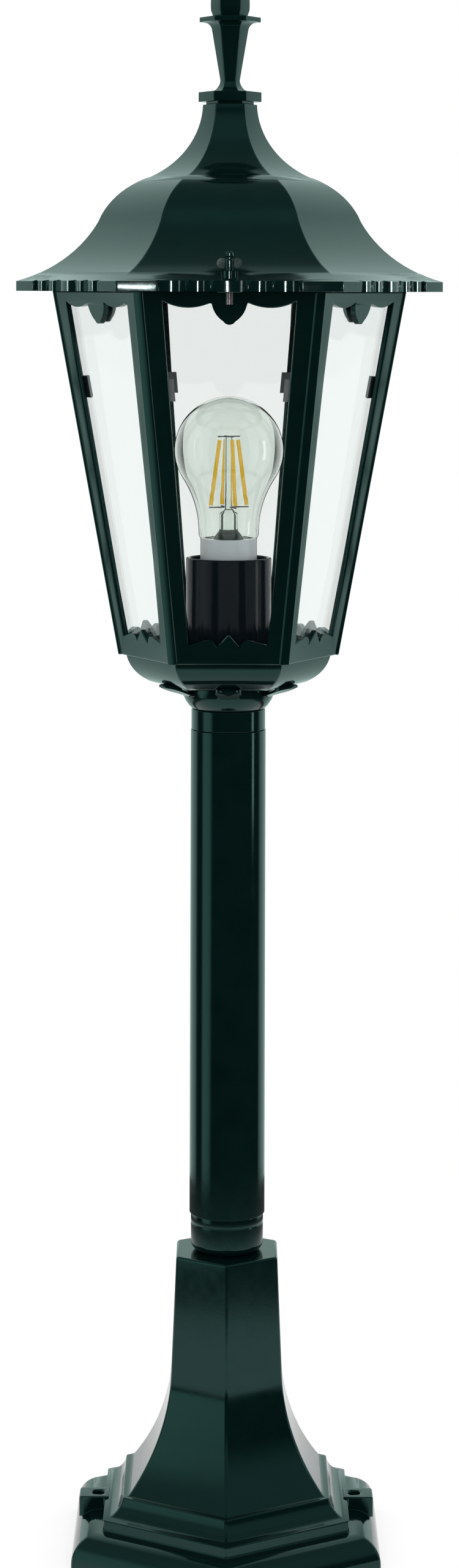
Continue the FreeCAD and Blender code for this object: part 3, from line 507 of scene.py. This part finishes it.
class LANTERN_OT_neck(bpy.types.Operator):
    """Rounds and coats the calyx and the bowl"""
    bl_idname = "lantern.neck"
    bl_label = "Neck"

    def execute(self, context):
        form = context.scene.lantern_form
        dressed("neck_calyx", form.fine_edge)
        dressed("bowl", form.cast_edge)
        return {"FINISHED"}


class LANTERN_OT_head(bpy.types.Operator):
    """Rounds and coats the lantern frame"""
    bl_idname = "lantern.head"
    bl_label = "Lantern frame"

    def execute(self, context):
        dressed("lantern_frame", context.scene.lantern_form.cast_edge)
        return {"FINISHED"}


class LANTERN_OT_panes(bpy.types.Operator):
    """Glazes the frame and fits its spring strips"""
    bl_idname = "lantern.panes"
    bl_label = "Panes and clips"

    def execute(self, context):
        for node in PANE_NODES:
            dressed(node, context.scene.lantern_form.glass_edge, segments=1)
        painted("pane_clips")
        return {"FINISHED"}


class LANTERN_OT_roof(bpy.types.Operator):
    """Rounds and coats the roof"""
    bl_idname = "lantern.roof"
    bl_label = "Roof"

    def execute(self, context):
        dressed("roof", context.scene.lantern_form.cast_edge)
        return {"FINISHED"}


class LANTERN_OT_finial(bpy.types.Operator):
    """Rounds and coats the finial, with its fixings"""
    bl_idname = "lantern.finial"
    bl_label = "Finial"

    def execute(self, context):
        dressed("finial", context.scene.lantern_form.fine_edge * FINIAL_EDGE)
        painted("finial_stud", "finial_washer", "finial_nut")
        return {"FINISHED"}


class LANTERN_OT_screws(bpy.types.Operator):
    """Coats the wing screws and cuts their bare threads"""
    bl_idname = "lantern.screws"
    bl_label = "Wing screws"

    def execute(self, context):
        form = context.scene.lantern_form
        stud_top = high("lantern_frame").z
        for node in SCREW_NODES:
            item = dressed(node, form.fine_edge)
            item.data.materials.append(MATERIALS["zinc_steel"])
            for face in item.data.polygons:
                face.material_index = int(face.center.z < stud_top)
            middle = (low(node) + high(node)) / 2
            start = low(node).z + form.thread_pitch
            thread(f"{node}_thread", node, "zinc_steel", (middle.x, middle.y, start), Radius=STUD_R,
                   Pitch=form.thread_pitch, Length=stud_top - start - PLAIN_PITCHES * form.thread_pitch,
                   Depth=form.thread_depth)
        return {"FINISHED"}


class LANTERN_OT_holder(bpy.types.Operator):
    """Finishes the lamp holder"""
    bl_idname = "lantern.holder"
    bl_label = "Lamp holder"

    def execute(self, context):
        dressed("holder_sleeve", context.scene.lantern_form.cast_edge)
        painted("holder_insert", "screw_shell", "centre_contact")
        return {"FINISHED"}


class LANTERN_OT_bulb(bpy.types.Operator):
    """Blows the bulb and fits its collar, cap, stem and filaments"""
    bl_idname = "lantern.bulb"
    bl_label = "Bulb"

    def execute(self, context):
        form = context.scene.lantern_form
        dressed("bulb_collar", form.cast_edge)
        dressed("bulb_glass", form.fine_edge, sharp=SHARP_ON_GLASS)
        dressed("bulb_stem", form.cast_edge)
        dressed("filaments", form.cast_edge, segments=3)
        painted("filament_wires", "bulb_cap")
        return {"FINISHED"}


class LANTERN_OT_fittings(bpy.types.Operator):
    """Finishes the nipples and nuts inside the pole"""
    bl_idname = "lantern.fittings"
    bl_label = "Hidden fittings"

    def execute(self, context):
        painted("base_nipple", "base_nuts", "neck_nipple", "neck_nuts")
        return {"FINISHED"}


# Brightness of the room, as gloss and glass see it
DIM_FRONT = 0.025
DIM_TOP = 0.5
FRONT_SKY = 0.4
SKY_TOP = 0.6
LEFT_WINDOW = 1.2
THROUGH_GLASS = 0.75
# A ray that has passed more faces of glass than this has crossed two panes
TWO_PANES = 3.5
# Tint of the room in gloss
MIRRORED = "#d3efe9"
# In gloss the paper is white out to WHITE_R, and then fades
FLOOR_R = 0.75
FLOOR_SIDES = 96
WHITE_R = 0.55
FADE = 0.1
WHITE_IN_GLOSS = 0.9
PAPER = "#bbbbbb"
PAPER_IN_GLOSS = "#6a6a6a"
SENSOR_MM = 36.0
WHITE = "#ffffff"
# The coat mirrors light with a green tint, which this colour balances to white
BALANCED = "#ffc5cb"
LAMPS = (
    # name, degrees from the front, distance, height, width, tall, watts, colour, mirrored by gloss,
    # shines on the eave alone
    ("right_strip", 82.0, 1.6, 0.6, 0.2, 0.9, 1.6, WHITE, True, False),
    ("eave_left", -4.3, 1.6, 0.712, 0.09, 0.06, 3.2, BALANCED, True, True),
    ("eave_right", 24.0, 1.6, 0.71, 0.06, 0.06, 0.2, BALANCED, True, True),
    ("eave_rear_right", 109.0, 1.6, 0.712, 0.12, 0.05, 0.7, WHITE, True, True),
    ("eave_rear_left", -109.0, 1.6, 0.712, 0.1, 0.05, 0.2, WHITE, True, True),
    ("front_fill", 0.0, 2.3, 1.0, 1.4, 1.2, 14.0, WHITE, False, False),
)


def studio_world(studio):
    """White to the camera, even light on matt surfaces, and a dim room for gloss and glass."""
    world = bpy.data.worlds.new("studio")
    bpy.context.scene.world = world
    world.use_nodes = True
    tree = world.node_tree
    tree.nodes.clear()
    direction = add(tree, "ShaderNodeTexCoord").outputs["Generated"]
    side, depth, rise = add(tree, "ShaderNodeSeparateXYZ", Vector=direction).outputs
    path = add(tree, "ShaderNodeLightPath").outputs
    level = {"glossy": path["Is Glossy Ray"], "through": path["Is Transmission Ray"],
             "faces": path["Transmission Depth"]}
    steps = (
        # name, along, start, end, level before, level after
        ("rear_wall", depth, 0.25, 0.5, DIM_FRONT, 1.0),
        ("wall_top", rise, 0.5, 0.95, 1.0, DIM_TOP),
        ("left_window", side, -0.72, -0.88, 0.0, LEFT_WINDOW),
        ("window_end", depth, -0.2, 0.0, 1.0, 0.0),
        ("sky", rise, 0.2, 0.5, 0.0, FRONT_SKY),
        ("sky_top", rise, 0.75, 0.97, 1.0, SKY_TOP),
        ("above_low", rise, -0.3, -0.22, 0.0, 1.0),
    )
    for name, along, start, end, before, after in steps:
        step = add(tree, "ShaderNodeMapRange", {"interpolation_type": "SMOOTHSTEP"}, Value=along,
                   From_Min=start, From_Max=end, To_Min=before, To_Max=after)
        level[name] = step.outputs["Result"]
    sums = (
        # name, operation, first, second
        ("wall", "MULTIPLY", "rear_wall", "wall_top"),
        ("window", "MULTIPLY", "left_window", "window_end"),
        ("front", "MULTIPLY", "sky", "sky_top"),
        ("walls", "MAXIMUM", "wall", "front"),
        ("room", "ADD", "walls", "window"),
        # Through two panes the room is light. Through one it is dark low down, where the pane's inner
        # face mirrors it
        ("crossed", "GREATER_THAN", "faces", TWO_PANES),
        ("clear", "MAXIMUM", "crossed", "above_low"),
        ("bright", "MULTIPLY", "clear", THROUGH_GLASS),
        ("ahead", "MULTIPLY", "bright", "through"),
        ("glass", "MAXIMUM", "room", "ahead"),
        ("shiny", "MAXIMUM", "glossy", "through"),
        ("mirrored", "SUBTRACT", "glossy", "through"),
    )
    for name, operation, first, second in sums:
        result = add(tree, "ShaderNodeMath", {"operation": operation}, i0=level[first],
                     i1=level.get(second, second))
        level[name] = result.outputs[0]
    matt = add(tree, "ShaderNodeMix", i0=level["shiny"], i2=studio.ambient, i3=level["glass"])
    seen = add(tree, "ShaderNodeMix", i0=path["Is Camera Ray"], i2=matt.outputs[0], i3=1.0)
    hue = add(tree, "ShaderNodeMix", {"data_type": "RGBA"}, i0=level["mirrored"], i6=(1, 1, 1, 1),
              i7=(*linear(MIRRORED), 1))
    light = add(tree, "ShaderNodeBackground", Color=hue.outputs[2], Strength=seen.outputs[0])
    add(tree, "ShaderNodeOutputWorld", Surface=light.outputs[0])


def floor_material(studio):
    """Matt white paper that reads as white to the camera and still takes the lantern's shadow."""
    material, tree = new_material("white_paper")
    path = add(tree, "ShaderNodeLightPath").outputs
    place = add(tree, "ShaderNodeTexCoord").outputs["Object"]
    reach = add(tree, "ShaderNodeVectorMath", {"operation": "LENGTH"}, i0=place).outputs["Value"]
    # The paper lies under the lantern and ends in a dim room, which shows where the coat mirrors it
    edge = add(tree, "ShaderNodeMapRange", {"interpolation_type": "SMOOTHSTEP"}, Value=reach,
               From_Min=WHITE_R, From_Max=WHITE_R + FADE, To_Min=WHITE_IN_GLOSS, To_Max=0.0)
    mirrored = add(tree, "ShaderNodeMath", {"operation": "MULTIPLY"}, i0=path["Is Glossy Ray"],
                   i1=edge.outputs["Result"])
    seen = add(tree, "ShaderNodeMath", {"operation": "MULTIPLY"}, i0=path["Is Camera Ray"],
               i1=studio.floor_glow)
    white = add(tree, "ShaderNodeMath", {"operation": "ADD"}, i0=mirrored.outputs[0], i1=seen.outputs[0])
    shade = add(tree, "ShaderNodeMix", {"data_type": "RGBA"}, i0=path["Is Glossy Ray"],
                i6=(*linear(PAPER), 1), i7=(*linear(PAPER_IN_GLOSS), 1))
    paper = add(tree, "ShaderNodeBsdfDiffuse", Color=shade.outputs[2])
    own = add(tree, "ShaderNodeEmission", Color=(1, 1, 1, 1), Strength=white.outputs[0])
    both = add(tree, "ShaderNodeAddShader", i0=paper.outputs[0], i1=own.outputs[0])
    add(tree, "ShaderNodeOutputMaterial", Surface=both.outputs[0])
    return material


class LANTERN_OT_stage(bpy.types.Operator):
    """Sets up the floor, the light and the camera"""
    bl_idname = "lantern.stage"
    bl_label = "Studio"

    def execute(self, context):
        scene = context.scene
        studio = scene.lantern_studio
        scene.view_settings.view_transform = "Standard"
        studio_world(studio)
        mesh = bpy.data.meshes.new("floor")
        disc = bmesh.new()
        bmesh.ops.create_circle(disc, cap_ends=True, segments=FLOOR_SIDES, radius=FLOOR_R)
        disc.to_mesh(mesh)
        disc.free()
        mesh.materials.append(floor_material(studio))
        new_object("floor", mesh)
        eave = bpy.data.collections.new("eave")
        for node in ("roof", *SCREW_NODES):
            eave.objects.link(bpy.data.objects[f"{node}_dressed"])
        for name, azimuth, distance, height, width, tall, watts, colour, mirrored, eave_only in LAMPS:
            light = bpy.data.lights.new(name, "AREA")
            light.shape = "RECTANGLE"
            light.size = width
            light.size_y = tall
            light.energy = watts
            light.color = linear(colour)
            lamp = new_object(name, light)
            turn = math.radians(azimuth)
            lamp.location = (distance * math.sin(turn), -distance * math.cos(turn), height)
            lamp.rotation_euler = (math.pi / 2, 0, turn)
            lamp.visible_glossy = mirrored
            lamp.visible_transmission = mirrored
            if eave_only:
                lamp.light_linking.receiver_collection = eave
        data = bpy.data.cameras.new("camera")
        data.sensor_width = SENSOR_MM
        data.lens = studio.reach * data.sensor_width
        data.shift_y = studio.drop
        camera = new_object("camera", data)
        camera.location = (0, -studio.distance, studio.height)
        camera.rotation_euler = (math.pi / 2, studio.roll, 0)
        scene.camera = camera
        return {"FINISHED"}


OPERATORS = (
    LANTERN_OT_foot, LANTERN_OT_pole, LANTERN_OT_neck, LANTERN_OT_head, LANTERN_OT_panes,
    LANTERN_OT_roof, LANTERN_OT_finial, LANTERN_OT_screws, LANTERN_OT_holder, LANTERN_OT_bulb,
    LANTERN_OT_fittings, LANTERN_OT_stage,
)


class LANTERN_PT_sidebar(bpy.types.Panel):
    """Lists the lantern's operators and settings"""
    bl_idname = "LANTERN_PT_sidebar"
    bl_label = "Garden Lantern"
    bl_space_type = "VIEW_3D"
    bl_region_type = "UI"
    bl_category = "Lantern"

    def draw(self, context):
        column = self.layout.column()
        for operator in OPERATORS:
            column.operator(operator.bl_idname)
        for group in GROUPS:
            settings = getattr(context.scene, group)
            for name in settings.__annotations__:
                column.prop(settings, name)


GROUPS = {"lantern_finish": LanternFinish, "lantern_form": LanternForm, "lantern_studio": LanternStudio}
CLASSES = (*GROUPS.values(), *OPERATORS, LANTERN_PT_sidebar)


def register():
    for item in CLASSES:
        bpy.utils.register_class(item)
    for name, group in GROUPS.items():
        setattr(bpy.types.Scene, name, bpy.props.PointerProperty(type=group))


def unregister():
    for name in GROUPS:
        delattr(bpy.types.Scene, name)
    for item in reversed(CLASSES):
        bpy.utils.unregister_class(item)


def main():
    register()
    MATERIALS.update(make_materials())
    THREAD["tree"] = thread_tree()
    for operator in OPERATORS:
        group, name = operator.bl_idname.split(".")
        getattr(getattr(bpy.ops, group), name)()


if __name__ == "__main__":
    main()
